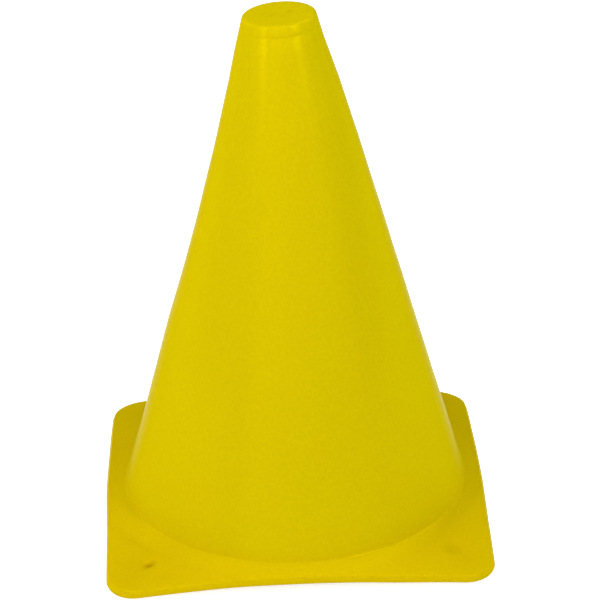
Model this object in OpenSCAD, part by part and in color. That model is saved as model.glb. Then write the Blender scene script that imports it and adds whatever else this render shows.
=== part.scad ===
// Small sports marker cone, moulded in one piece from soft plastic.
// A hollow cone with a closed top stands on a thin square flange whose corners
// droop towards the ground and rest on four short moulded feet.
// The origin is on the ground under the middle of the cone, with +Z up.

/* [Cone] */
// Overall height, from the ground to the top face
cone_h = 180; // [150:1:300]
// Outside diameter of the cone just under the collar
cone_top_d = 25.6; // [20:0.1:60]
// How far the side curves in from a straight line, at half height
side_hollow = 0.7; // [0:0.1:3]
// Thickness of the cone's wall
wall_t = 1.8; // [1:0.1:2.6]

/* [Top] */
// Thickness of the closed top
top_t = 2.2; // [1.5:0.1:4]
// Rounding round the top face
top_edge_r = 1.7; // [0.5:0.1:3]
// Height of the plain collar under the top face
collar_h = 3.7; // [3:0.1:10]
// How far the collar draws in over its height, on each side
collar_draw_in = 0.75; // [0.3:0.05:2]
// Step from the collar out to the cone
collar_step = 0.2; // [0.1:0.05:0.6]
// Width of the shallow dish round the moulding gate
gate_dish_w = 7; // [4:0.5:12]
// Depth of that dish
gate_dish_depth = 0.3; // [0.1:0.05:0.6]
// Diameter of the trimmed gate stub in the dish
gate_stub_d = 1.8; // [1:0.1:3]
// How far the top of that stub stays below the top face
gate_stub_below = 0.1; // [0.05:0.05:0.5]

/* [Flange] */
// Width of the flange from corner to corner along a side, before rounding
base_w = 128.2; // [100:0.1:200]
// How far the middle of each side bows outwards
base_bow = 0.8; // [0.2:0.1:3]
// Rounding of the four corners, seen from above
base_corner_r = 11.2; // [5:0.1:25]
// Width of the flange beside the cone, at the middle of a side
rim_land = 5.9; // [3:0.1:20]
// Thickness of the flange
base_t = 2.2; // [1.5:0.1:3]
// Height of the underside at the tips of the corners
corner_gap = 0.3; // [0.1:0.1:1.5]
// How much higher the middle of a side is than the corners
base_arch = 4.1; // [2:0.1:8]
// Rise of the flange from the middle of a side in to the cone
ring_rise = 2; // [0.5:0.1:6]
// Fillet in the corner between the cone and the flange
junction_fillet_r = 0.8; // [0.5:0.1:3]
// Radius of the soft bend where the corners start to droop
droop_bend_r = 14; // [5:1:25]

/* [Feet] */
// Distance from the side of the flange in to the centre of a foot
foot_inset = 14.6; // [10:0.1:18]
// Diameter of a foot
foot_d = 6; // [4:0.1:8]
// Chamfer round the bottom of a foot
foot_chamfer = 0.4; // [0.1:0.1:1]
// Width of the shallow sink mark over a foot
sink_w = 4.6; // [2:0.1:8]
// Depth of that sink mark
sink_depth = 0.25; // [0.05:0.05:0.5]

/* [Hidden] */
$fn = 96;
plastic = [0.84, 0.75, 0.02];

// How finely the curved outlines are stepped
side_steps = 16;
bow_steps = 10;
arc_step_angle = 7.5;
// Overrun for cuts and for stock that is trimmed away
overrun = 2;

// Plan of the flange: four bowed sides with tangent corner arcs
base_half = base_w / 2;
rim_mid_r = base_half + base_bow;
bow_r = (base_half * base_half + base_bow * base_bow) / (2 * base_bow);
bow_centre = bow_r - rim_mid_r;
corner_reach = bow_r - base_corner_r;
corner_at = (sqrt(2 * corner_reach * corner_reach - bow_centre * bow_centre) - bow_centre) / 2;
bow_angle = asin(corner_at / corner_reach);
tip_r = corner_at * sqrt(2) + base_corner_r;
corner_steps = ceil((90 - 2 * bow_angle) / arc_step_angle);

// Section of the flange: a steeper ring next to the cone, then the drooping corners
droop_angle = atan(base_arch / (tip_r - rim_mid_r));
base_t_upright = base_t / cos(droop_angle);
rim_mid_top = corner_gap + base_arch + base_t_upright;
stock_r = tip_r + overrun;
foot_r = (base_half - foot_inset) * sqrt(2);
junction_h = rim_mid_top + ring_rise;
function droop_height(r) = corner_gap + (tip_r - r) * tan(droop_angle);

// Section of the cone
cone_foot_r = rim_mid_r - rim_land;
cone_top_r = cone_top_d / 2;
collar_foot_r = cone_top_r - collar_step;
top_face_r = collar_foot_r - collar_draw_in;
collar_foot_h = cone_h - collar_h;
cone_top_h = collar_foot_h - collar_step;
side_angle = atan((cone_foot_r - cone_top_r) / (cone_top_h - junction_h));
wall_across = wall_t / cos(side_angle);
ring_angle = atan(ring_rise / rim_land);
ring_t_upright = base_t / cos(ring_angle);
function side_height(u) = junction_h + (cone_top_h - junction_h) * u;
function side_radius(u) = cone_foot_r + (cone_top_r - cone_foot_r) * u - side_hollow * 4 * u * (1 - u);

// Turns a row of x and y anticlockwise by an angle
function turned(p, a) = [p.x * cos(a) - p.y * sin(a), p.x * sin(a) + p.y * cos(a)];

// Signed turn from one angle to another, the short way round
function turn(from, to) = (to - from + 540) % 360 - 180;

// Points of the arc of radius r that rounds corner b between a and c
function arc_corner(a, b, c, r) =
    let (u = (a - b) / norm(a - b))
    let (v = (c - b) / norm(c - b))
    let (half_angle = acos(u * v) / 2)
    let (mid = b + (u + v) / norm(u + v) * r / sin(half_angle))
    let (first = b + u * r / tan(half_angle) - mid)
    let (last = b + v * r / tan(half_angle) - mid)
    let (from = atan2(first.y, first.x))
    let (sweep = turn(from, atan2(last.y, last.x)))
    let (steps = ceil(abs(sweep) / arc_step_angle))
    [for (i = [0:steps]) mid + r * [cos(from + sweep * i / steps), sin(from + sweep * i / steps)]];

// A list of [point, rounding] pairs as plain points, with each rounding made an arc
function rounded(corners) =
    let (last = len(corners) - 1)
    [for (i = [0:last]) each
        corners[i][1] == 0 ? [corners[i][0]]
        : arc_corner(corners[i - 1][0], corners[i][0], corners[i + 1][0], corners[i][1])];

// Upper skin of the section, from the middle of the top out to the edge of the stock
outer_skin = [
    [[0, cone_h], 0],
    [[top_face_r, cone_h], top_edge_r],
    [[collar_foot_r, collar_foot_h], 0],
    for (i = [0:side_steps - 1])
        let (u = 1 - i / side_steps)
        [[side_radius(u), side_height(u)], 0],
    [[cone_foot_r, junction_h], junction_fillet_r],
    [[rim_mid_r, rim_mid_top], droop_bend_r],
    [[stock_r, droop_height(stock_r) + base_t_upright], 0]
];

// Lower skin, from the edge of the stock in under the flange and up inside the cone
inner_top_h = cone_h - top_t;
lower_junction = [cone_foot_r - wall_across, junction_h - ring_t_upright + wall_across * tan(ring_angle)];
lower_junction_u = (lower_junction.y - junction_h) / (cone_top_h - junction_h);
inner_skin = [
    [[stock_r, droop_height(stock_r)], 0],
    [[rim_mid_r, corner_gap + base_arch], droop_bend_r + base_t],
    [[side_radius(lower_junction_u) - wall_across, lower_junction.y], junction_fillet_r + wall_t],
    for (i = [1:side_steps - 1])
        let (u = i / side_steps)
        [[side_radius(u) - wall_across, side_height(u)], 0],
    [[top_face_r - wall_across, inner_top_h], top_edge_r / 2],
    [[0, inner_top_h], 0]
];

module shell_stock() {
    rotate_extrude()
        polygon(concat(rounded(outer_skin), rounded(inner_skin)));
}

module base_plan() {
    polygon([
        for (k = [0:3])
            each [
                for (i = [0:bow_steps])
                    let (a = bow_angle * (2 * i / bow_steps - 1))
                    turned([bow_r * cos(a) - bow_centre, bow_r * sin(a)], 90 * k),
                for (i = [1:corner_steps - 1])
                    let (a = bow_angle + (90 - 2 * bow_angle) * i / corner_steps)
                    turned([corner_at + base_corner_r * cos(a), corner_at + base_corner_r * sin(a)], 90 * k)
            ]
    ]);
}

module shell() {
    intersection() {
        shell_stock();
        linear_extrude(height = cone_h + overrun)
            base_plan();
    }
}

// The place of each foot, with X pointing out along the corner's diagonal
module at_feet() {
    for (corner = [0:3])
        rotate([0, 0, 45 + 90 * corner])
            translate([foot_r, 0, 0])
                children();
}

module foot() {
    foot_top = droop_height(foot_r) + base_t_upright / 2;
    cylinder(h = foot_chamfer, r1 = foot_d / 2 - foot_chamfer, r2 = foot_d / 2);
    translate([0, 0, foot_chamfer])
        cylinder(h = foot_top - foot_chamfer, d = foot_d);
}

// Cuts a shallow round hollow, w wide and as deep as given, into a face at height 0
module dish(w, depth) {
    ball_r = (w * w / 4 + depth * depth) / (2 * depth);
    intersection() {
        translate([0, 0, ball_r - depth])
            sphere(r = ball_r);
        translate([0, 0, -overrun])
            cylinder(h = 2 * overrun, d = w + overrun);
    }
}

module sink_mark() {
    translate([0, 0, droop_height(foot_r) + base_t_upright])
        rotate([0, droop_angle, 0])
            dish(sink_w, sink_depth);
}

module gate_stub() {
    translate([0, 0, inner_top_h + top_t / 2])
        cylinder(h = top_t / 2 - gate_stub_below, d = gate_stub_d);
}

module marker_cone() {
    color(plastic) {
        difference() {
            union() {
                shell();
                at_feet() foot();
            }
            at_feet() sink_mark();
            translate([0, 0, cone_h])
                dish(gate_dish_w, gate_dish_depth);
        }
        gate_stub();
    }
}

marker_cone();
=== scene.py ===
import math

import bpy
import numpy as np
from mathutils import Matrix


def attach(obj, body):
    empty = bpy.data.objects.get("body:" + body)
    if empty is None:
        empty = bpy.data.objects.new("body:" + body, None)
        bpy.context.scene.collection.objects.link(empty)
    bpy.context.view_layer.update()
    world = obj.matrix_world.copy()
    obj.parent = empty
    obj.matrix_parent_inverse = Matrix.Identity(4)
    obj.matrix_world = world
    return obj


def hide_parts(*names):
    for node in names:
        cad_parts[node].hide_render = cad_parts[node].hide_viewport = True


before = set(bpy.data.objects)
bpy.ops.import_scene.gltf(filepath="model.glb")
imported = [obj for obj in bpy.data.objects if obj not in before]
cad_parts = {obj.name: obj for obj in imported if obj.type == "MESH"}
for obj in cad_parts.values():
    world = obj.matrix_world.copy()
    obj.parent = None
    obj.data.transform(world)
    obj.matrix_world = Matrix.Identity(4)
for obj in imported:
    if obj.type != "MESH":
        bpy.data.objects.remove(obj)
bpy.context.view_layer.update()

# A millimetre in the frame's metres
MM = 0.001
# Sizes of the moulding in millimetres. The large ones are the solid's. Small edges, steps and hollows
# are as they look.
CONE_H = 180.0
CONE_TOP_R = 12.8
SIDE_HOLLOW = 0.7
WALL_T = 1.8
TOP_T = 2.2
TOP_EDGE_R = 1.2
COLLAR_H = 3.7
COLLAR_DRAW_IN = 0.92
COLLAR_STEP = 0.03
COLLAR_GROOVE = 0.01
# Extra draw-in of the side over its last stretch under the collar
FLARE = 0.05
FLARE_H = 5.5
GATE_DISH_R = 3.5
GATE_DISH_DEPTH = 0.14
GATE_STUB_BELOW = 0.04

BASE_HALF = 64.1
BASE_BOW = 0.8
BASE_CORNER_R = 11.2
RIM_LAND = 5.9
BASE_T = 2.2
CORNER_GAP = 0.3
BASE_ARCH = 4.1
RING_RISE = 2.0
JUNCTION_FILLET_R = 0.7
# Half the width of the soft bend where the ring beside the cone turns into the corners' droop, on the
# upper and the lower skin
TOP_BEND = 1.1
BOTTOM_BEND = 1.2
# Rounding of the flange's upper rim, draft of the wall below it in degrees, and the lower edge's rounding
RIM_ROUND = 0.4
RIM_DRAFT = 26.0
RIM_EDGE_R = 0.35

FOOT_INSET = 14.6
FOOT_R = 3.0
FOOT_CHAMFER = 0.4
FOOT_DRAFT = 0.35
# Sink mark over each foot, from the +X +Y corner anticlockwise: place, depth, radius, and how much painted
# shade darkens its hollow
SINKS = (
    (49.5, 49.5, 0.15, 2.3, 0.06),
    (-49.5, 49.5, 0.2, 2.3, 0.06),
    (-49.9, -50.6, 0.5, 1.9, 0.14),
    (50.9, -49.2, 0.25, 2.8, 0.14),
)
# Painted shade and shadow on the flange, in its folds and corners and beside the cone, and real dark marks
# round the gate: place, reach along and across, turn in degrees, and how dark
SHADE_PATCHES_AND_MARKS = (
    # On the flange: painted shade in folds, drooping corners and a sink mark, painted shadow of the cone
    # beside it
    (-55.2, -38.0, 7.0, 1.2, -53.0, 0.07),
    (-54.9, -48.0, 3.2, 3.4, 0.0, 0.04),
    (-44.6, -58.6, 3.8, 2.6, 0.0, 0.05),
    (-56.0, -54.5, 10.0, 8.0, 45.0, 0.08),
    (52.8, -53.5, 5.5, 3.0, -60.0, 0.05),
    (56.0, -55.0, 10.0, 8.0, -45.0, 0.04),
    (-50.0, -50.9, 2.1, 1.0, 27.0, 0.45),
    (-43.5, -43.5, 16.0, 5.0, -45.0, 0.07),
    (44.5, -44.5, 16.0, 5.0, 45.0, 0.08),
    (50.2, -35.2, 10.0, 2.6, 55.0, 0.13),
    (-51.1, -29.5, 4.0, 0.8, -60.0, 0.05),
    (-56.0, -20.4, 8.0, 2.0, -70.0, 0.09),
    (-52.0, 52.0, 11.0, 9.0, -45.0, 0.08),
    (52.0, 52.0, 11.0, 9.0, 45.0, 0.14),
    # Round the gate: real dark marks
    (-2.6, -1.2, 1.0, 0.7, 60.0, 0.2),
    (-1.6, 1.6, 1.1, 0.6, -30.0, 0.16),
    (3.1, 1.1, 1.0, 0.8, 0.0, 0.2),
    (1.4, -2.2, 1.2, 0.5, 20.0, 0.08),
    (-5.0, 0.8, 1.6, 1.0, 15.0, 0.09),
)
# Painted shade in the corner between cone and flange, and painted shade that comes and goes along the
# collar's foot: reach and how dark it is
JUNCTION_SHADE = (1.5, 0.02)
COLLAR_SHADE = (0.25, 0.02)
COLLAR_SHADE_PLACES = 7

# How a real one strays from the drawing: sideways drift of the axis, swell of the wall, and tilt of the top
DRIFT = (1.27, -0.28, 0.13, 0.075, 0.06)
SWELL = (-0.04, -0.01, -0.05, -0.12, -0.05)
TOP_TILT = (0.051, 0.013)
# Height where the tilt starts, and over which it comes in
TILT_FROM_H = 150.0
TILT_OVER = 26.0
# Sideways shift halfway up the top stretch and at its end, how the latter grows, and the stretch's height
TOP_LEAN = (-0.26, -0.12)
LEAN_POWER = 1.5
TOP_LEAN_H = 22.0
# How far the top is squeezed from front to back and bulges at the sides, over the height of the flare
TOP_OVAL = 0.13
# Ripples of the wall: size, waves over the height, waves round the axis, start
RIPPLE = ((0.06, 4, 5, 1.3), (0.04, 7, 3, 0.4))
# Radius where the ripples start, and over which they come in
RIPPLE_FROM_R = 12.0
RIPPLE_OVER = 8.0
# Radius inside which the wall's swell goes down to nothing at the axis
SWELL_FULL_R = 8.0
# Radius where the flange starts to settle and the cone's straying to fade, and over which it fades
FLANGE_FROM_R = 60.0
FADE_OVER = 6.0
# How far the flange's rim stands above and outside the drawing, every 22.5 degrees from +X anticlockwise
SETTLE = (
    0.05, 0.31, -0.12, 0.11, 0.0, 0.39, 1.21, 0.43,
    0.09, 0.10, 0.42, 0.07, -0.28, -0.04, 1.27, 0.38,
)
SPREAD = (
    0.54, 0.57, 1.19, -0.02, 0.0, 0.0, 0.0, 0.18,
    0.48, 0.0, 0.26, -0.06, 0.02, 0.16, 0.52, 0.27,
)
# Power by which the settling grows from the cone out to the rim
SETTLE_POWER = 1.5

# Sizes that follow from those above
RIM_MID_R = BASE_HALF + BASE_BOW
BOW_R = (BASE_HALF**2 + BASE_BOW**2) / (2 * BASE_BOW)
BOW_CENTRE = BOW_R - RIM_MID_R
CORNER_REACH = BOW_R - BASE_CORNER_R
CORNER_AT = (math.sqrt(2 * CORNER_REACH**2 - BOW_CENTRE**2) - BOW_CENTRE) / 2
TIP_R = CORNER_AT * math.sqrt(2) + BASE_CORNER_R
DROOP = BASE_ARCH / (TIP_R - RIM_MID_R)
BASE_T_UPRIGHT = BASE_T * math.hypot(1, DROOP)
RIM_MID_TOP = CORNER_GAP + BASE_ARCH + BASE_T_UPRIGHT
JUNCTION_H = RIM_MID_TOP + RING_RISE
CONE_FOOT_R = RIM_MID_R - RIM_LAND
RING_SLOPE = RING_RISE / RIM_LAND
COLLAR_FOOT_R = CONE_TOP_R - FLARE - COLLAR_STEP
TOP_FACE_R = COLLAR_FOOT_R - COLLAR_DRAW_IN
COLLAR_FOOT_H = CONE_H - COLLAR_H
CONE_TOP_H = COLLAR_FOOT_H - COLLAR_STEP
SIDE_H = CONE_TOP_H - JUNCTION_H
SIDE_ANGLE = math.atan((CONE_FOOT_R - CONE_TOP_R) / SIDE_H)
WALL_ACROSS = WALL_T / math.cos(SIDE_ANGLE)
FOOT_AT = BASE_HALF - FOOT_INSET
# Where the inside of the cone would meet the underside of the ring, and the ring's slope there
LOWER_R = CONE_FOOT_R - WALL_ACROSS
LOWER_H = JUNCTION_H - BASE_T * math.hypot(1, RING_SLOPE) + WALL_ACROSS * RING_SLOPE
LOWER_SLOPE = (LOWER_H - CORNER_GAP - BASE_ARCH) / (RIM_MID_R - LOWER_R)

# Grid of the moulding: points round a quarter of the axis
QUARTER = 128
# Gate stub: radius of each row and how far it lies below the stub's middle
STUB_ROWS = ((0.45, 0.0), (0.75, 0.01), (0.88, 0.03), (0.98, 0.08))
# Radii of the rows across the gate's dish and the flat face, and across the disc from below
TOP_ROWS = (1.05, 1.7, 2.4, 3.0, 3.4, 3.8, 5.2, 7.2, 9.2)
UNDER_TOP_ROWS = (6.0, 2.5)
# Rows at the collar's foot: two above it, by how far in and up they are, and the side's first, out and down
COLLAR_ROWS = ((0.15, 0.8), (0.0, 0.15))
SIDE_START = (0.05, 0.3)
# Rows of the flared stretch, from below the collar on, and of the side, from there to above the junction
FLARE_ROWS_FROM = 0.7
FLARE_ROWS_STEP = 0.6
SIDE_ROWS_BELOW = 7
SIDE_ROWS_ABOVE = 2
SIDE_ROWS = 25
# Rows of the inside, which ends a little below the top
INSIDE_ROWS = 18
INSIDE_BELOW = 1.6
# How far from the corner the two junction fillets read the direction of their legs
FILLET_LEG = 3
INSIDE_FILLET_LEG = 4
# Where the skin's slope is read inside the rim, and over which distance
SLOPE_AT = 1.0
SLOPE_OVER = 0.4
# Rows of the rim's rounding, and of its lower corner, in and up in shares of the corner's rounding
RIM_ROWS = 5
RIM_CORNER_ROWS = ((0.0, 1.0), (0.3, 0.3), (1.0, 0.2))
# Rows of the flange's top and underside: shares of the way out where their spacing changes, and the steps
# between. They are close together across the feet and the sink marks.
TOP_SHARES = ((0, 0.26, 0.5, 1), (11, 16, 11))
BOTTOM_SHARES = ((0, 0.22, 0.56, 1), (6, 26, 8))


def around():
    """Directions round the axis: 45 + 45 (0.25 x + 0.75 x cubed) degrees for even x from -1 to 1.

    That is one quarter, and the others are turned from it. The cubic packs the directions close together
    near the flange's corners, where the feet are."""
    x = np.linspace(-1, 1, QUARTER, endpoint=False)
    quarter = 45 + 45 * (0.25 * x + 0.75 * x**3)
    return np.radians(np.concatenate([quarter + 90 * k for k in range(4)]))


def outline(angle):
    """Radius of the flange's outline in each direction, and the outline's outward normal there.

    The direction is folded into an eighth of the square. There the outline is the farther hit with a wide
    circle centred beyond the axis, or, past the tangent point, with the corner's circle. The normal points
    from that circle's centre through the hit, and is unfolded again."""
    turn = np.floor((angle + math.pi / 4) / (math.pi / 2))
    local = angle - turn * math.pi / 2
    fold = np.abs(local)
    side_r = -BOW_CENTRE * np.cos(fold) + np.sqrt(BOW_R**2 - (BOW_CENTRE * np.sin(fold)) ** 2)
    total, apart = np.cos(fold) + np.sin(fold), np.cos(fold) - np.sin(fold)
    corner_r = CORNER_AT * total + np.sqrt(np.maximum(BASE_CORNER_R**2 - (CORNER_AT * apart) ** 2, 0))
    bow = math.atan2(CORNER_AT, CORNER_AT + BOW_CENTRE)
    tangent = math.atan2(BOW_R * math.sin(bow), BOW_R * math.cos(bow) - BOW_CENTRE)
    on_side = fold < tangent
    r = np.where(on_side, side_r, corner_r)
    nx = np.where(on_side, r * np.cos(fold) + BOW_CENTRE, r * np.cos(fold) - CORNER_AT)
    ny = np.where(on_side, r * np.sin(fold), r * np.sin(fold) - CORNER_AT)
    ny = np.where(local < 0, -ny, ny)
    size = np.hypot(nx, ny)
    nx, ny = nx / size, ny / size
    c, s = np.cos(turn * math.pi / 2), np.sin(turn * math.pi / 2)
    return r, np.stack([nx * c - ny * s, nx * s + ny * c], -1)


def soft_bend(r, r0, z0, before, after, reach):
    """Two falling slopes that meet at (r0, z0), joined over +-reach by the parabola tangent to both."""
    x = r - r0
    bend = -before * x + (before - after) * (x + reach) ** 2 / (4 * reach)
    return z0 + np.where(x < -reach, -before * x, np.where(x > reach, -after * x, bend))


def flange_top(r):
    """Height of the flange's upper skin: the steeper ring beside the cone, then the corners' droop."""
    return soft_bend(r, RIM_MID_R, RIM_MID_TOP, RING_SLOPE, DROOP, TOP_BEND)


def flange_bottom(r):
    """Height of the flange's lower skin: the same two slopes, a thickness lower."""
    return soft_bend(r, RIM_MID_R, CORNER_GAP + BASE_ARCH, LOWER_SLOPE, DROOP, BOTTOM_BEND)


def side_radius(z):
    """Radius of the cone's side: a straight line from foot to collar, less a hollow of 4 u (1 - u)."""
    u = (z - JUNCTION_H) / SIDE_H
    return CONE_FOOT_R + (CONE_TOP_R - CONE_FOOT_R) * u - SIDE_HOLLOW * 4 * u * (1 - u)


def flared(z):
    """0 below the flare, 1 at the collar, and 3 t squared - 2 t cubed between, t being even in height."""
    t = np.clip((z - CONE_TOP_H + FLARE_H) / FLARE_H, 0, 1)
    return 3 * t**2 - 2 * t**3


def arc(before, corner, after, radius, count):
    """Points of the arc tangent to both legs of a corner, at even angles from the arc's centre."""
    before, corner, after = (np.array(p, float) for p in (before, corner, after))
    u, v = before - corner, after - corner
    u, v = u / np.linalg.norm(u), v / np.linalg.norm(v)
    half = math.acos(float(u @ v)) / 2
    centre = corner + (u + v) / np.linalg.norm(u + v) * radius / math.sin(half)
    first, last = (corner + w * radius / math.tan(half) - centre for w in (u, v))
    start = math.atan2(first[1], first[0])
    sweep = (math.atan2(last[1], last[0]) - start + math.pi) % (2 * math.pi) - math.pi
    a = start + sweep * np.linspace(0, 1, count)
    return centre + radius * np.stack([np.cos(a), np.sin(a)], -1)


def upper_section():
    """Radius and height of the outside from the axis to the end of the junction fillet, as rows of points.

    The rows are the gate stub, the dish 1 - (r / R) squared round it, the flat face, its rounded edge, the
    collar, the small step and the hollowed side."""
    stub = np.array([[r, CONE_H - GATE_STUB_BELOW - below] for r, below in STUB_ROWS])
    r = np.array(TOP_ROWS)
    dish = np.stack([r, CONE_H - GATE_DISH_DEPTH * np.maximum(1 - (r / GATE_DISH_R) ** 2, 0)], -1)
    edge = arc((0, CONE_H), (TOP_FACE_R, CONE_H), (COLLAR_FOOT_R, COLLAR_FOOT_H), TOP_EDGE_R, count=8)
    wider, lower = SIDE_START
    collar = np.array([
        *[[COLLAR_FOOT_R - inwards, COLLAR_FOOT_H + up] for inwards, up in COLLAR_ROWS],
        [COLLAR_FOOT_R - COLLAR_GROOVE, COLLAR_FOOT_H],
        [CONE_TOP_R - FLARE + wider, CONE_TOP_H - lower],
    ])
    plain_h = SIDE_H - (SIDE_ROWS_BELOW + SIDE_ROWS_ABOVE)
    z = np.concatenate([
        CONE_TOP_H - FLARE_ROWS_FROM - np.arange(0, FLARE_H, FLARE_ROWS_STEP),
        CONE_TOP_H - SIDE_ROWS_BELOW - plain_h * np.linspace(0, 1, SIDE_ROWS),
    ])
    side = np.stack([side_radius(z) - FLARE * flared(z), z], -1)
    out = (CONE_FOOT_R + FILLET_LEG, JUNCTION_H - FILLET_LEG * RING_SLOPE)
    up = (side_radius(JUNCTION_H + FILLET_LEG), JUNCTION_H + FILLET_LEG)
    fillet = arc(up, (CONE_FOOT_R, JUNCTION_H), out, JUNCTION_FILLET_R, count=7)
    return np.concatenate([stub, dish, edge, collar, side, fillet])


def lower_section():
    """Radius and height of the inside, from the flange's underside in and up to the axis under the top."""
    out = (LOWER_R + INSIDE_FILLET_LEG, LOWER_H - INSIDE_FILLET_LEG * LOWER_SLOPE)
    up = (side_radius(LOWER_H + INSIDE_FILLET_LEG) - WALL_ACROSS, LOWER_H + INSIDE_FILLET_LEG)
    fillet = arc(out, (LOWER_R, LOWER_H), up, JUNCTION_FILLET_R + WALL_T, count=7)
    top = CONE_H - TOP_T
    high = top - INSIDE_BELOW
    z = fillet[-1, 1] + (high - fillet[-1, 1]) * np.linspace(0, 1, INSIDE_ROWS)[1:]
    side = np.stack([side_radius(z) - WALL_ACROSS, z], -1)
    under = arc(tuple(side[-1]), (TOP_FACE_R - WALL_ACROSS, top), (0, top), TOP_EDGE_R / 2, count=5)
    disc = np.array([[r, top] for r in UNDER_TOP_ROWS])
    return np.concatenate([fillet, side, under, disc])


def waves(z, sizes):
    """Sine waves over the height: half a wave from the ground to the top, then half a wave more each."""
    u = np.clip(z / CONE_H, 0, 1)
    return sum(a * np.sin((k + 1) * math.pi * u) for k, a in enumerate(sizes))


def dimple(x, y, radius):
    """A round mark that is 1 in its middle and fades as exp(-(d / R) cubed)."""
    return np.exp(-(np.hypot(x, y) / radius) ** 3)


def sunk(x, y):
    """Depth of the sink marks over the feet, each its depth times its dimple."""
    return sum(deep * dimple(x - at_x, y - at_y, radius) for at_x, at_y, deep, radius, _ in SINKS)


def shade_and_marks_at(x, y, z):
    """How much darker the skin is painted, from 0 to 1: painted shade in the sink marks, in the flange's
    folds and corners and beside the cone and at the cone's and collar's foot, and real marks round the
    gate.

    A patch is exp(-(u / a) squared - (v / b) squared) along and across it, and the two lines are the same
    with the distance from them. The collar's line comes and goes seven times round the axis."""
    painted_shade_and_marks = sum(dark * dimple(x - at_x, y - at_y, radius) for at_x, at_y, _, radius, dark in SINKS)
    for at_x, at_y, along, over, turn, dark in SHADE_PATCHES_AND_MARKS:
        c, s = math.cos(math.radians(turn)), math.sin(math.radians(turn))
        u, v = (x - at_x) * c + (y - at_y) * s, (y - at_y) * c - (x - at_x) * s
        painted_shade_and_marks = painted_shade_and_marks + dark * np.exp(-(u / along) ** 2 - (v / over) ** 2)
    reach, dark = JUNCTION_SHADE
    away = np.hypot(np.hypot(x, y) - CONE_FOOT_R, z - JUNCTION_H)
    painted_shade_and_marks = painted_shade_and_marks + dark * np.exp(-(away / reach) ** 2)
    reach, dark = COLLAR_SHADE
    comes = 0.5 + 0.5 * np.sin(COLLAR_SHADE_PLACES * np.arctan2(y, x))
    return painted_shade_and_marks + dark * comes * np.exp(-((z - COLLAR_FOOT_H) / reach) ** 2)


def lobes(angle, sizes):
    """A value round the axis from its sizes at even steps, smooth between them.

    Each size has a lobe of cosine squared, which fades out over a step to either side."""
    step = 2 * math.pi / len(sizes)
    total = 0
    for k, size in enumerate(sizes):
        away = np.abs((angle - k * step + math.pi) % (2 * math.pi) - math.pi)
        total = total + size * np.where(away < step, np.cos(away / step * math.pi / 2) ** 2, 0)
    return total


def settled(angle, r, r_out):
    """Height that the soft flange gains or loses: its lobes times a power of the way out to the rim."""
    grown = np.clip((r - FLANGE_FROM_R) / (r_out - FLANGE_FROM_R), 0, 1)
    return lobes(angle, SETTLE) * grown**SETTLE_POWER


def revolved(section, e):
    """A section carried round the axis: its radius times each direction, at its own height."""
    r, z = section[:, :1], section[:, 1:]
    return np.stack([r * e[:, 0], r * e[:, 1], z + 0 * e[:, 0]], -1)


def stretches(ends, steps):
    """Shares of the way, evenly spaced between each two ends, as a column."""
    parts = [np.linspace(a, b, count + 1)[1:] for a, b, count in zip(ends, ends[1:], steps)]
    return np.concatenate([ends[:1], *parts])[:, None]


def between(r0, end, e, share):
    """Rows that run straight from a circle of radius r0 out to the given points, by shares of the way."""
    x = (1 - share) * r0 * e[:, 0] + share * end[:, 0]
    y = (1 - share) * r0 * e[:, 1] + share * end[:, 1]
    return x, y, np.hypot(x, y)


def rim_rows(angle, e, r_out, normal):
    """Where the flange's top ends, and the rows of the rim from there down to the underside.

    An arc is tangent to the sloping skin and to the drafted wall below it, and a small corner ends the
    wall. Each point is the outline's, moved out or in along the outline's normal."""

    def height(r):
        return flange_top(r) + settled(angle, r, r_out)

    inner, outer = r_out - (SLOPE_AT + SLOPE_OVER / 2), r_out - (SLOPE_AT - SLOPE_OVER / 2)
    facing = (normal * e).sum(-1)
    tilt = np.arctan((height(inner) - height(outer)) / SLOPE_OVER * facing)
    steep = math.radians(90 - RIM_DRAFT)
    wall_reach = (BASE_T - RIM_ROUND * math.sin(steep) - RIM_EDGE_R) / math.tan(steep)
    inset = RIM_ROUND * (math.sin(steep) - np.sin(tilt)) + wall_reach
    edge = r_out[:, None] * e
    top_end = edge - inset[:, None] * normal

    a = tilt + (steep - tilt) * (np.arange(1, RIM_ROWS + 1) / RIM_ROWS)[:, None]
    arc_out = RIM_ROUND * (np.sin(a) - math.sin(steep)) - wall_reach
    arc_z = height(np.hypot(*top_end.T)) + RIM_ROUND * (np.cos(a) - np.cos(tilt))
    corner_in, corner_up = RIM_EDGE_R * np.array(RIM_CORNER_ROWS).T[:, :, None]
    bottom_z = flange_bottom(r_out) + settled(angle, r_out, r_out)
    out = np.concatenate([arc_out, 0 * r_out - corner_in])
    z = np.concatenate([arc_z, bottom_z + corner_up])
    return top_end, np.concatenate([edge + out[..., None] * normal, z[..., None]], -1)


def footed(x, y, base):
    """Height of the underside with its feet: flat sole, chamfer, and drafted wall up to the flange."""
    from_foot = np.hypot(np.abs(x) - FOOT_AT, np.abs(y) - FOOT_AT)
    chamfer = np.clip(from_foot - (FOOT_R - FOOT_CHAMFER), 0, FOOT_CHAMFER)
    wall = np.clip((from_foot - FOOT_R) / FOOT_DRAFT, 0, 1) * (base - FOOT_CHAMFER)
    drafted = np.where(from_foot > FOOT_R, FOOT_CHAMFER + wall, chamfer)
    return np.minimum(base, drafted)


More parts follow.
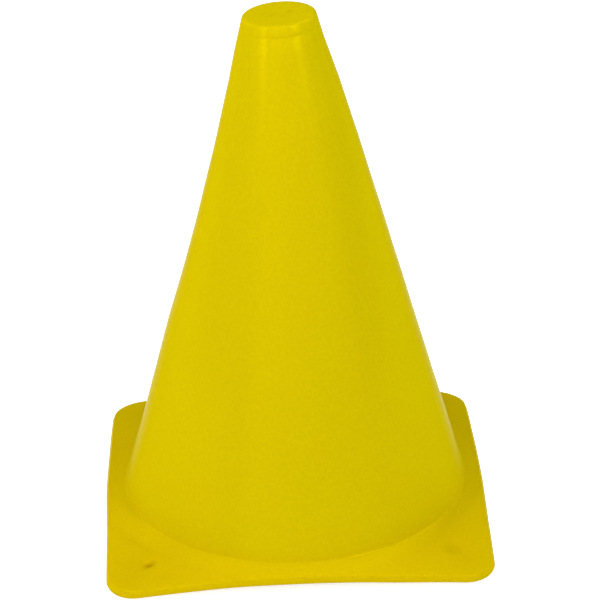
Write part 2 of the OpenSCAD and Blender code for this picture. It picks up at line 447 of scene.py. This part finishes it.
def moulding():
    """The whole skin as one grid of rows and directions, in millimetres, and how much painted shade and
    real marks darken each point.

    Upper section; flange top, from the junction fillet to where the rim starts; the rim; flange bottom with
    the feet pushed down out of it; lower section."""
    angle = around()
    e = np.stack([np.cos(angle), np.sin(angle)], -1)
    r_out, normal = outline(angle)
    r_out = r_out + lobes(angle, SPREAD)
    upper, lower = upper_section(), lower_section()
    top_end, rim = rim_rows(angle, e, r_out, normal)

    x, y, r = between(upper[-1, 0], top_end, e, stretches(*TOP_SHARES)[1:])
    top = np.stack([x, y, flange_top(r) + settled(angle, r, r_out) - sunk(x, y)], -1)

    x, y, r = between(lower[0, 0], rim[-1], e, stretches(*BOTTOM_SHARES)[-2::-1])
    bottom = np.stack([x, y, footed(x, y, flange_bottom(r) + settled(angle, r, r_out))], -1)

    grid = np.concatenate([revolved(upper, e), top, rim, bottom, revolved(lower, e)])
    painted_shade_and_marks = shade_and_marks_at(*np.moveaxis(grid, -1, 0))
    # The rim and all that lies under the cone get no painted shade or marks
    painted_shade_and_marks[len(upper) + len(top):] = 0
    return grid, painted_shade_and_marks


def skin(p):
    """Adds what a real soft moulding has beyond the drawing, in millimetres.

    The axis drifts and the wall swells, by sums of sine waves over the height that fade out where the
    flange starts. The wall also ripples, by two products of a sine over the height and a cosine round the
    axis. The top is a little oval, falls to one side and leans."""
    z = p[..., 2].copy()
    r, turn = np.hypot(p[..., 0], p[..., 1]), np.arctan2(p[..., 1], p[..., 0])
    on_cone = np.clip((FLANGE_FROM_R + FADE_OVER - r) / FADE_OVER, 0, 1)
    u = 2 * math.pi * z / CONE_H
    ripple = sum(a * np.sin(n * u + start) * np.cos(m * turn + start) for a, n, m, start in RIPPLE)
    ripple = ripple * np.clip((r - RIPPLE_FROM_R) / RIPPLE_OVER, 0, 1)
    oval = TOP_OVAL * flared(z) * np.cos(2 * turn)
    swell = 1 + (waves(z, SWELL) + ripple + oval) / np.maximum(r, SWELL_FULL_R) * on_cone
    fall = TOP_TILT[0] * (TOP_FACE_R - p[..., 0]) + TOP_TILT[1] * (TOP_FACE_R + p[..., 1])
    p[..., 2] -= fall * np.clip((z - TILT_FROM_H) / TILT_OVER, 0, 1) ** 2
    t = np.clip((z - CONE_H + TOP_LEAN_H) / TOP_LEAN_H, 0, 1)
    lean = TOP_LEAN[0] * np.sin(math.pi * t) + TOP_LEAN[1] * t**LEAN_POWER
    p[..., 0] = p[..., 0] * swell + waves(z, DRIFT) * on_cone + lean
    p[..., 1] *= swell
    return p


def mesh_from(p, painted_shade_and_marks, name):
    """Closes the grid: quads between the rows, wrapped round, and a fan to the axis at each end."""
    rows, turns = p.shape[:2]
    poles = [[p[row, :, k].mean() for k in range(3)] for row in (0, -1)]
    verts = np.concatenate([p.reshape(-1, 3), poles]) * MM
    i, j = np.meshgrid(np.arange(rows - 1), np.arange(turns), indexing="ij")
    k = (j + 1) % turns
    quads = np.stack([i * turns + j, (i + 1) * turns + j, (i + 1) * turns + k, i * turns + k], -1)
    j = np.arange(turns)
    k = (j + 1) % turns
    end = (rows - 1) * turns
    fans = np.concatenate([
        np.stack([np.full(turns, rows * turns), j, k], -1),
        np.stack([np.full(turns, rows * turns + 1), end + k, end + j], -1),
    ])
    mesh = bpy.data.meshes.new(name)
    loops = np.concatenate([quads.ravel(), fans.ravel()])
    sizes = np.concatenate([np.full(quads.size // 4, 4), np.full(len(fans), 3)])
    mesh.vertices.add(len(verts))
    mesh.vertices.foreach_set("co", verts.ravel())
    mesh.loops.add(len(loops))
    mesh.loops.foreach_set("vertex_index", loops)
    mesh.polygons.add(len(sizes))
    mesh.polygons.foreach_set("loop_start", np.cumsum(sizes) - sizes)
    mesh.update(calc_edges=True)
    mesh.validate()
    values = np.append(painted_shade_and_marks.ravel(), [0, 0]).astype(np.float32)
    # How much painted shade and real gate marks darken each point's colour
    mesh.attributes.new("painted_shade_and_marks", "FLOAT", "POINT").data.foreach_set("value", values)
    mesh.shade_smooth()
    return mesh


def linear(colour):
    """sRGB hex as linear colour: c / 12.92 when dark, else ((c + 0.055) / 1.055) to the power 2.4."""
    c = np.array([int(colour[i:i + 2], 16) for i in (1, 3, 5)]) / 255
    c = np.where(c <= 0.04045, c / 12.92, ((c + 0.055) / 1.055) ** 2.4)
    return (*c.tolist(), 1.0)


def add(tree, kind, inputs=None, **settings):
    """Adds a node, sets its properties, and gives each input a value or a link from another's output."""
    node = tree.nodes.new(kind)
    for name, value in settings.items():
        setattr(node, name, value)
    for name, value in (inputs or {}).items():
        if isinstance(value, bpy.types.NodeSocket):
            tree.links.new(value, node.inputs[name])
        else:
            node.inputs[name].default_value = value
    return node


# Looks of the plastic, in metres: patches in the colour, the pigment's mottle and how strong it is, and the
# mould's grain, its depth and how much of it shows
CLOUD = 0.030
MOTTLE = 0.0010
MOTTLE_LEVEL = 0.035
GRAIN = 0.0012
GRAIN_DEPTH = 0.0001
GRAIN_STRENGTH = 0.12
# Values between which nearly all of a noise lies
NOISE_RANGE = (0.3, 0.7)
# Heights between which the colour turns to the flange's, and the veil comes up to its full level
FLANGE_COLOUR_H = (0.012, 0.006)
VEIL_H = (0.015, 0.055)
# The veil: how far the skin has to turn from the eye, its specular level at the silhouette, and its share
# low down
VEIL_FROM = 0.71
VEIL_LEVEL = 0.0038
VEIL_SHARE_LOW = 0.6


def moulded_polyethylene():
    """Low-density polyethylene, injection moulded in a fine-blasted steel mould and coloured throughout."""
    # To the eye: a soft satin gloss that blurs a window to a pale streak, a strong even yellow that turns a
    # little more orange low on the flange, amber painted shade in the flange's folds and corners, beside
    # the cone, in the sink marks and at the collar's foot, dark marks round the gate, and a narrow pale
    # veil along the silhouette, weaker near the foot. The mould's grain and the pigment's mottle are finer
    # than the picture can show and are drawn coarser, at 1.2 and 1.0 mm.
    material = bpy.data.materials.new("moulded_polyethylene")
    material.use_nodes = True
    tree = material.node_tree
    tree.nodes.clear()
    place = add(tree, "ShaderNodeTexCoord").outputs["Object"]
    height = add(tree, "ShaderNodeSeparateXYZ", {"Vector": place}).outputs["Z"]

    cloud = add(tree, "ShaderNodeTexNoise", {
        "Vector": place, "Scale": 1 / CLOUD, "Detail": 3.0,
    }).outputs["Fac"]
    colour = add(tree, "ShaderNodeMix", {
        0: cloud, 6: linear("#d6c002"), 7: linear("#d8bf02"),
    }, data_type="RGBA").outputs[2]
    low = add(tree, "ShaderNodeMapRange", {
        "Value": height, "From Min": FLANGE_COLOUR_H[0], "From Max": FLANGE_COLOUR_H[1],
    }).outputs[0]
    colour = add(tree, "ShaderNodeMix", {
        0: low, 6: colour, 7: linear("#dabc02"),
    }, data_type="RGBA").outputs[2]
    mottle = add(tree, "ShaderNodeTexNoise", {
        "Vector": place, "Scale": 1 / MOTTLE, "Detail": 2.0,
    }).outputs["Fac"]
    level = add(tree, "ShaderNodeMapRange", {
        "Value": mottle, "From Min": NOISE_RANGE[0], "From Max": NOISE_RANGE[1],
        "To Min": 1 - MOTTLE_LEVEL, "To Max": 1 + MOTTLE_LEVEL,
    }).outputs[0]
    colour = add(tree, "ShaderNodeMix", {
        0: 1.0, 6: colour, 7: level,
    }, data_type="RGBA", blend_type="MULTIPLY").outputs[2]
    # Painted shade in folds, corners and sink marks and at the cone's and collar's foot, and real gate
    # marks
    painted_shade_and_marks = add(tree, "ShaderNodeAttribute", attribute_name="painted_shade_and_marks").outputs["Fac"]
    colour = add(tree, "ShaderNodeMix", {
        0: painted_shade_and_marks, 6: colour, 7: linear("#9a7000"),
    }, data_type="RGBA").outputs[2]

    facing = add(tree, "ShaderNodeLayerWeight", {"Blend": 0.5}).outputs["Facing"]
    veil = add(tree, "ShaderNodeMapRange", {
        "Value": facing, "From Min": VEIL_FROM, "From Max": 1.0, "To Min": 0.0, "To Max": VEIL_LEVEL,
    }).outputs[0]
    unhandled = add(tree, "ShaderNodeMapRange", {
        "Value": height, "From Min": VEIL_H[0], "From Max": VEIL_H[1],
        "To Min": VEIL_SHARE_LOW, "To Max": 1.0,
    }).outputs[0]
    veil = add(tree, "ShaderNodeMath", {0: veil, 1: unhandled}, operation="MULTIPLY").outputs[0]

    grain = add(tree, "ShaderNodeTexNoise", {
        "Vector": place, "Scale": 1 / GRAIN, "Detail": 2.0,
    }).outputs["Fac"]
    bump = add(tree, "ShaderNodeBump", {
        "Height": grain, "Strength": GRAIN_STRENGTH, "Distance": GRAIN_DEPTH,
    }).outputs["Normal"]
    shader = add(tree, "ShaderNodeBsdfPrincipled", {
        "Base Color": colour,
        "Roughness": 0.21,
        "IOR": 1.51,
        "Specular IOR Level": veil,
        "Metallic": 0.08,
        "Specular Tint": linear("#ffe020"),
        "Normal": bump,
    })
    add(tree, "ShaderNodeOutputMaterial", {"Surface": shader.outputs["BSDF"]})
    return material


grid, painted_shade_and_marks = moulding()
cone = bpy.data.objects.new("moulded_cone", mesh_from(skin(grid), painted_shade_and_marks, "moulded_cone"))
bpy.context.scene.collection.objects.link(cone)
cone.data.materials.append(moulded_polyethylene())
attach(cone, "root")
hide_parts("marker_cone")

# Studio, in metres: half the floor's side, the middle of the cone, and the flags' height
FLOOR_HALF = 4
AIM_H = 0.09
FLAG_H = 2.4
# Light of the floor's own, to the camera and in reflections, and the world's even light on the object
FLOOR_TO_CAMERA = 0.8
FLOOR_IN_REFLECTIONS = 0.25
AMBIENT = 0.02
# Distance of the lamps, and of the two overhead
FAR = 0.8
NEAR = 0.5


def floor_paper():
    """Matt white paper, which the camera and reflections see a little brighter, so that it reads white."""
    material = bpy.data.materials.new("floor_paper")
    material.use_nodes = True
    tree = material.node_tree
    tree.nodes.clear()
    rays = add(tree, "ShaderNodeLightPath").outputs
    mirrored = add(tree, "ShaderNodeMath", {
        0: rays["Is Glossy Ray"], 1: rays["Is Transmission Ray"],
    }, operation="MAXIMUM").outputs[0]
    mirrored = add(tree, "ShaderNodeMath", {
        0: mirrored, 1: FLOOR_IN_REFLECTIONS,
    }, operation="MULTIPLY").outputs[0]
    seen = add(tree, "ShaderNodeMath", {
        0: rays["Is Camera Ray"], 1: FLOOR_TO_CAMERA,
    }, operation="MULTIPLY").outputs[0]
    lift = add(tree, "ShaderNodeMath", {0: seen, 1: mirrored}, operation="MAXIMUM").outputs[0]
    diffuse = add(tree, "ShaderNodeBsdfDiffuse", {"Color": linear("#f8f8f8")}).outputs[0]
    glow = add(tree, "ShaderNodeEmission", {"Color": (1, 1, 1, 1), "Strength": lift}).outputs[0]
    both = add(tree, "ShaderNodeAddShader", {0: diffuse, 1: glow}).outputs[0]
    add(tree, "ShaderNodeOutputMaterial", {"Surface": both})
    return material


def black_felt():
    """Wool felt dyed black: no gloss at all, and next to no light comes back from it."""
    material = bpy.data.materials.new("black_felt")
    material.use_nodes = True
    tree = material.node_tree
    tree.nodes.clear()
    black = add(tree, "ShaderNodeBsdfDiffuse", {"Color": linear("#0a0a0a")}).outputs[0]
    add(tree, "ShaderNodeOutputMaterial", {"Surface": black})
    return material


def light_room():
    """The world: white to the camera, in reflections and through clear things, and a faint even light."""
    world = bpy.data.worlds.new("studio")
    bpy.context.scene.world = world
    world.use_nodes = True
    tree = world.node_tree
    tree.nodes.clear()
    rays = add(tree, "ShaderNodeLightPath").outputs
    seen = add(tree, "ShaderNodeMath", {
        0: rays["Is Camera Ray"], 1: rays["Is Glossy Ray"],
    }, operation="MAXIMUM").outputs[0]
    seen = add(tree, "ShaderNodeMath", {
        0: seen, 1: rays["Is Transmission Ray"],
    }, operation="MAXIMUM").outputs[0]
    strength = add(tree, "ShaderNodeMapRange", {"Value": seen, "To Min": AMBIENT, "To Max": 1.0}).outputs[0]
    sky = add(tree, "ShaderNodeBackground", {"Color": (1, 1, 1, 1), "Strength": strength}).outputs[0]
    add(tree, "ShaderNodeOutputWorld", {"Surface": sky})


def flat_sheet(name, corners, material):
    """A flat sheet with four corners, as an object in the scene."""
    mesh = bpy.data.meshes.new(name)
    mesh.from_pydata(corners, [], [(0, 1, 2, 3)])
    mesh.materials.append(material)
    sheet = bpy.data.objects.new(name, mesh)
    bpy.context.scene.collection.objects.link(sheet)
    return sheet


def direction(azimuth, elevation):
    """Unit direction from the object, from degrees: azimuth 0 is the front and 90 the left."""
    a, e = math.radians(azimuth), math.radians(elevation)
    return np.array([-math.sin(a) * math.cos(e), -math.cos(a) * math.cos(e), math.sin(e)])


def sideways(back):
    """Directions to the right and up in the view of a lamp or camera that looks against back."""
    right = np.cross([0, 0, 1], back)
    right /= np.linalg.norm(right)
    return right, np.cross(back, right)


def matrix_of(right, up, back, place):
    """Matrix of a lamp or camera: its three directions and its place are the columns."""
    return Matrix([[right[k], up[k], back[k], place[k]] for k in range(3)]).to_4x4()


def lamp(name, azimuth, elevation, distance, width, height, power, tint=(1, 1, 1), glossy=True):
    """A soft box that faces the middle of the cone: direction in degrees, sizes in metres, power in watts.

    Without glossy it only lights, as a ceiling or wall that is too even to show in a gloss."""
    light = bpy.data.lights.new(name, "AREA")
    light.shape = "RECTANGLE"
    light.size, light.size_y, light.energy = width, height, power
    light.color = tint
    lit = bpy.data.objects.new(name, light)
    bpy.context.scene.collection.objects.link(lit)
    back = direction(azimuth, elevation)
    lit.visible_camera = False
    lit.visible_glossy = glossy
    lit.matrix_world = matrix_of(*sideways(back), back, np.array([0, 0, AIM_H]) + back * distance)


floor_corners = [(-FLOOR_HALF, -FLOOR_HALF, 0), (FLOOR_HALF, -FLOOR_HALF, 0)]
floor_corners += [(FLOOR_HALF, FLOOR_HALF, 0), (-FLOOR_HALF, FLOOR_HALF, 0)]
floor = flat_sheet("floor", floor_corners, floor_paper())
light_room()

lamp("right_window", -44, 33, FAR, 0.22, 0.53, 1.63)
lamp("right_window_pane", -42, 26, FAR, 0.09, 0.14, 0.10)
lamp("left_window", 52, 28, FAR, 0.22, 0.58, 0.78)
lamp("left_window_pane", 49, 38, FAR, 0.09, 0.14, 0.42)
lamp("left_window_low", 43, 14, FAR, 0.09, 0.14, 0.18)
lamp("front_wall", 0, 30, FAR, 0.70, 0.40, 0.82)
lamp("overhead", 0, 65, NEAR, 0.60, 0.60, 0.76, glossy=False)
lamp("left_overhead", 70, 60, NEAR, 0.50, 0.50, 0.42, glossy=False)
lamp("left_box", 75, 38, FAR, 0.70, 0.60, 1.87, glossy=False)
# From both sides at the back and from low on the right comes a little cooler daylight. The last is plain.
lamp("left_back_box", 118, 30, FAR, 0.70, 0.60, 1.46, tint=(0.92, 1, 1.03))
lamp("right_back_box", -110, 30, FAR, 0.70, 0.60, 2.69, tint=(0.86, 1, 1.05))
lamp("right_card", -75, 12, FAR, 0.50, 0.30, 0.29, tint=(0.9, 1, 1.03))
lamp("back_box", 180, 40, FAR, 0.70, 0.60, 0.40)

# Sheets of black felt out of the picture, which end the reflected paper: from one upright edge to the
# other. They cast no shade on the paper behind them.
FLAGS = {
    "left_flag": ((-0.9, -1.2), (-0.9, 1.5)),
    "right_flag": ((2.0, 1.5), (2.0, -1.2)),
    "back_flag": ((-0.9, 1.5), (2.0, 1.5)),
}
felt = black_felt()
for name, (a, b) in FLAGS.items():
    sheet = flat_sheet(name, [(*a, 0), (*b, 0), (*b, FLAG_H), (*a, FLAG_H)], felt)
    sheet.visible_camera = False
    sheet.visible_shadow = False

# Camera, from a fit of the flange's outline and the cone's edges to the photograph's: angles in degrees,
# distance and aim in widths of the flange, and focal length in pixels of a picture of 600 by 600. The fit's
# ground was the underside of the corners.
CAMERA_AZ, CAMERA_EL, CAMERA_ROLL = 1.4492, 27.0802, -1.7266
BASE_W = 2 * BASE_HALF * MM
DISTANCE = 7.48729 * BASE_W
AIM_UP = 0.589284 * BASE_W + CORNER_GAP * MM
AIM_SIDE = 0.030396 * BASE_W
FOCAL_PX = 2847.195
PICTURE_PX = 600
SENSOR_W = 36
back = direction(CAMERA_AZ, CAMERA_EL)
right, up = sideways(back)
c, s = math.cos(math.radians(CAMERA_ROLL)), math.sin(math.radians(CAMERA_ROLL))
eye = np.array([0, 0, AIM_UP]) + AIM_SIDE * right + back * DISTANCE
camera = bpy.data.objects.new("camera", bpy.data.cameras.new("camera"))
camera.data.sensor_width = SENSOR_W
camera.data.lens = FOCAL_PX / PICTURE_PX * SENSOR_W
camera.data.clip_start, camera.data.clip_end = 0.05, 50
camera.matrix_world = matrix_of(c * right + s * up, -s * right + c * up, back, eye)
bpy.context.scene.collection.objects.link(camera)
bpy.context.scene.camera = camera
bpy.context.scene.view_settings.view_transform = "Standard"
